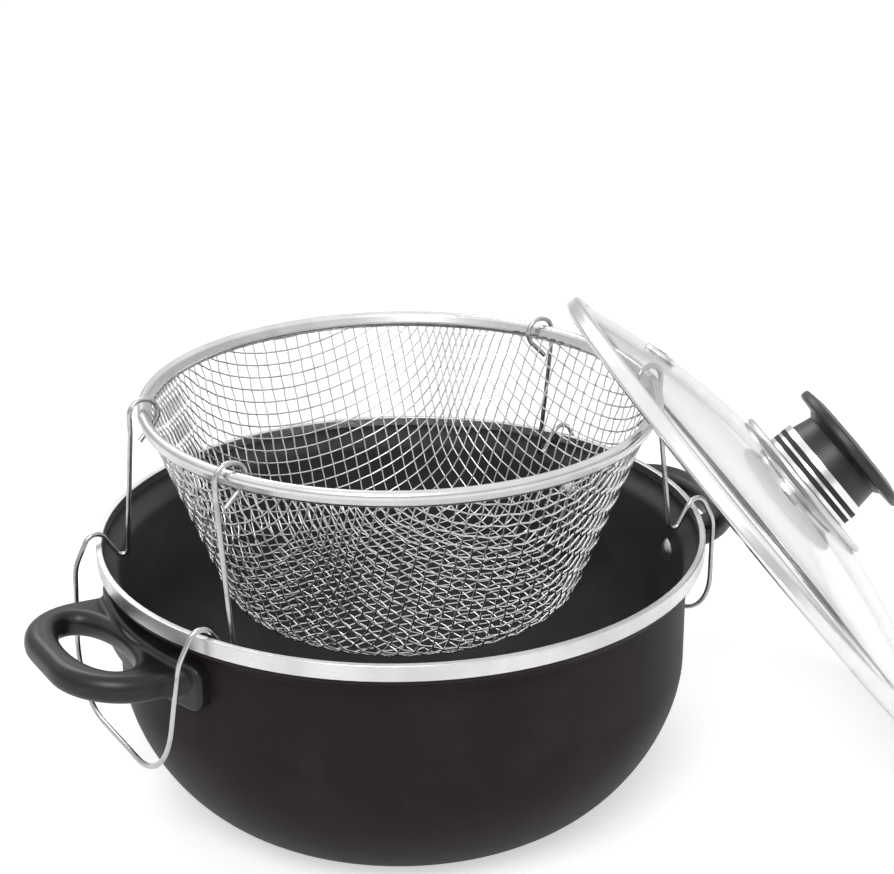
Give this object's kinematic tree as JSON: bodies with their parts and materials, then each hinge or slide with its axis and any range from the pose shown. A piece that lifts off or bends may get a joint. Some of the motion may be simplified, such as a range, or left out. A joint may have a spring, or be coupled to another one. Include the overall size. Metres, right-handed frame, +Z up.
{
  "type": "stovetop deep fryer set",
  "caption": "Round black stovetop deep fryer with side loop handles, a wire basket hung by folding wire handles on its rim, and a domed glass lid with a steel band leaning beside it.",
  "frame": {"origin": "centre of the pot's flat base, on the table", "axes": "+Z up along the pot's axis, +X through the side handle beside the leaning lid, +Y by the right-hand rule to the pot's back"},
  "size_m": [0.4087, 0.3097, 0.2045],
  "materials": {
    "nonstick": "satin black non-stick coating",
    "trim_steel": "polished stainless steel",
    "bakelite": "satin black moulded thermoset",
    "rivet_steel": "plain steel",
    "basket_steel": "bright plated steel",
    "wire_steel": "bright plated steel wire",
    "glass": "clear toughened glass",
    "lid_steel": "polished stainless steel",
    "groove_black": "matt black",
    "seal": "matt black silicone"
  },
  "bodies": {
    "pot": {"pot_body": "nonstick", "rim_band": "trim_steel", "handle_right": "bakelite", "handle_left": "bakelite", "rivets_right": "rivet_steel", "rivets_left": "rivet_steel"},
    "basket": {"basket_rim": "basket_steel", "basket_wall": "basket_steel", "basket_floor": "basket_steel"},
    "wire_right": {"wire_handle_right": "wire_steel"},
    "wire_left": {"wire_handle_left": "wire_steel"},
    "lid": {"lid_glass": "glass", "lid_rim": "lid_steel", "vent_grommet": "lid_steel", "knob_dish": "lid_steel", "knob_collar": "lid_steel", "collar_rings": "groove_black", "knob": "bakelite", "knob_screw": "rivet_steel", "knob_bush": "seal", "seal_washer": "seal", "steel_washer": "rivet_steel"}
  },
  "joints": [
    {"name": "basket_lift", "type": "slide", "parent": "pot", "child": "basket", "axis": [0, 0, 1], "range_m": [0, 0.238]},
    {"name": "wire_right_fold", "type": "hinge", "parent": "basket", "child": "wire_right", "pos_m": [0.09849, 0, 0.1744], "axis": [0, -1, 0], "range_deg": [0, 170.5]},
    {"name": "wire_left_fold", "type": "hinge", "parent": "basket", "child": "wire_left", "pos_m": [-0.09849, 0, 0.1744], "axis": [0, 1, 0], "range_deg": [0, 170.5]},
    {"name": "lid_lift", "type": "slide", "parent": "pot", "child": "lid", "axis": [0.7167, -0.3027, 0.6282], "range_m": [0, 0.394]}
  ],
  "couplings": [
    {"joint": "wire_right_fold", "follows": "basket_lift", "rad_per_m": 12.467},
    {"joint": "wire_left_fold", "follows": "basket_lift", "rad_per_m": 12.467},
    {"joint": "lid_lift", "follows": "basket_lift", "ratio": 1.65}
  ]
}
